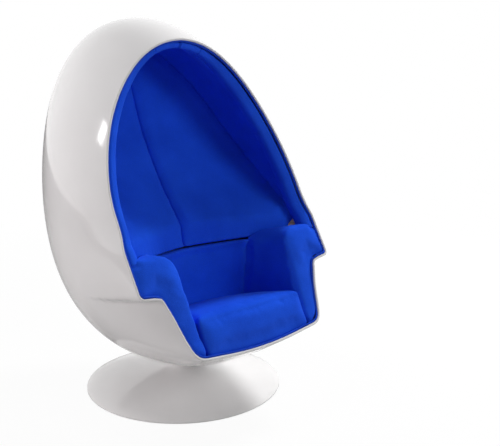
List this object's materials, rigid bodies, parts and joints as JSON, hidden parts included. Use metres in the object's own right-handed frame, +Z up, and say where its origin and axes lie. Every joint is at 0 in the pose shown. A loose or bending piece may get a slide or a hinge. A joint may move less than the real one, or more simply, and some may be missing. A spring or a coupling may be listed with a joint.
{
  "type": "pod chair",
  "caption": "Egg-shaped pod chair: glossy shell with a tilted hood, upholstered inside with arms and a seat, turning on a round dish base.",
  "frame": {"origin": "on the floor, on the swivel axis", "axes": "+Z up, the sitter faces -Y, +X is to the sitter's left; left and right in node names are as seen from the front, so left is -X"},
  "size_m": [0.9, 1.0078, 1.319],
  "materials": {
    "shell_gloss": "high gloss",
    "fabric": "woven wool cloth over foam",
    "welt_fabric": "piping in the same cloth",
    "plywood": "raw plywood",
    "steel": "bright zinc",
    "bush_brass": "plain bearing bronze",
    "washer_plastic": "acetal",
    "base_white": "gloss white",
    "ballast_iron": "rough cast",
    "plate_black": "black powder coat",
    "foot_rubber": "matt"
  },
  "bodies": {
    "base": {"base_dish": "base_white", "ballast_hub": "ballast_iron", "floor_plate": "plate_black", "plate_screws": "steel", "foot_ring": "foot_rubber", "clamp_nut": "base_white", "swivel_post": "steel", "thrust_washer": "washer_plastic", "retaining_ring": "steel"},
    "seat_shell": {"arm_pad_left": "fabric", "arm_pad_right": "fabric", "back_board": "plywood", "back_pad_left": "fabric", "back_pad_right": "fabric", "base_block": "plywood", "deck_cleats": "plywood", "deck_screws": "steel", "hood_left": "fabric", "hood_right": "fabric", "housing_bolts": "steel", "lower_bush": "bush_brass", "opening_welt": "welt_fabric", "rim_roll_left": "fabric", "rim_roll_right": "fabric", "rim_roll_top": "fabric", "seat_cushion": "fabric", "seat_deck": "plywood", "shell": "shell_gloss", "swivel_housing": "steel", "upper_bush": "bush_brass", "well_pad": "fabric"}
  },
  "joints": [
    {"name": "swivel", "type": "hinge", "parent": "base", "child": "seat_shell", "pos_m": [0, 0, 0.12], "axis": [0, 0, 1], "continuous": true}
  ]
}
